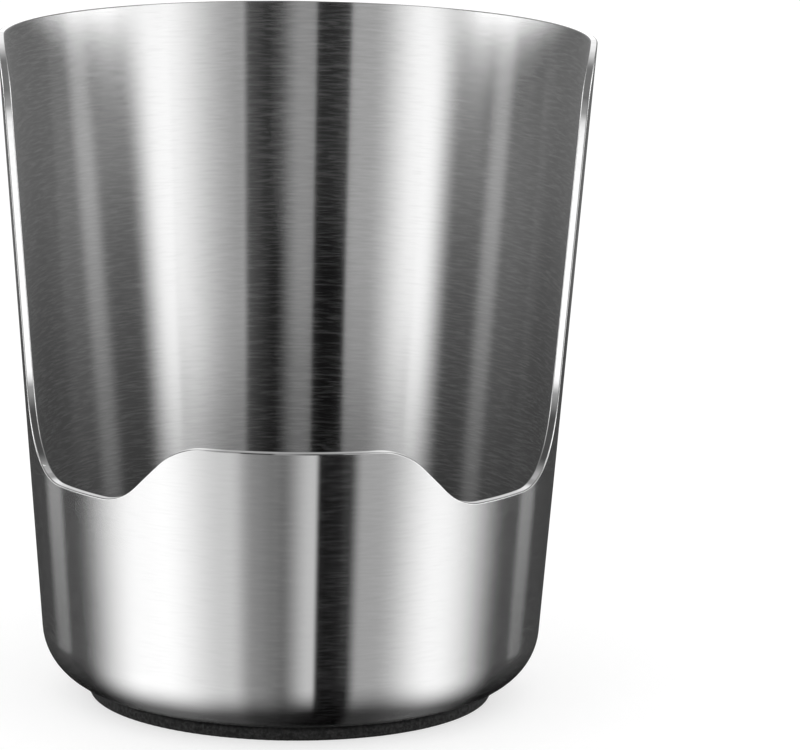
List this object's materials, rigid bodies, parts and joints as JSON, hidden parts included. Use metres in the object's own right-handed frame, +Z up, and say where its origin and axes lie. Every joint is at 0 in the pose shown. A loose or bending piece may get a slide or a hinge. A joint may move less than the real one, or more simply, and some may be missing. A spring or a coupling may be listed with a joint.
{
  "type": "utensil and lid holder",
  "caption": "Tapered steel cup with a tall back and a cut-away front with a low lip between two dips, on a round rubber pad, for keeping utensils and resting a lid.",
  "frame": {"origin": "on the cup's axis, at the underside of the rubber pad", "axes": "+Z up along the cup's axis, open front towards -Y, +X to the right seen from the front"},
  "size_m": [0.12, 0.1143, 0.1346],
  "materials": {
    "steel": "brushed round the cup, with polished cut edges",
    "film": "thin translucent adhesive",
    "rubber": "fine-grained matte"
  },
  "bodies": {
    "root": {"cup": "steel", "adhesive_film": "film", "base_pad": "rubber"}
  },
  "joints": []
}
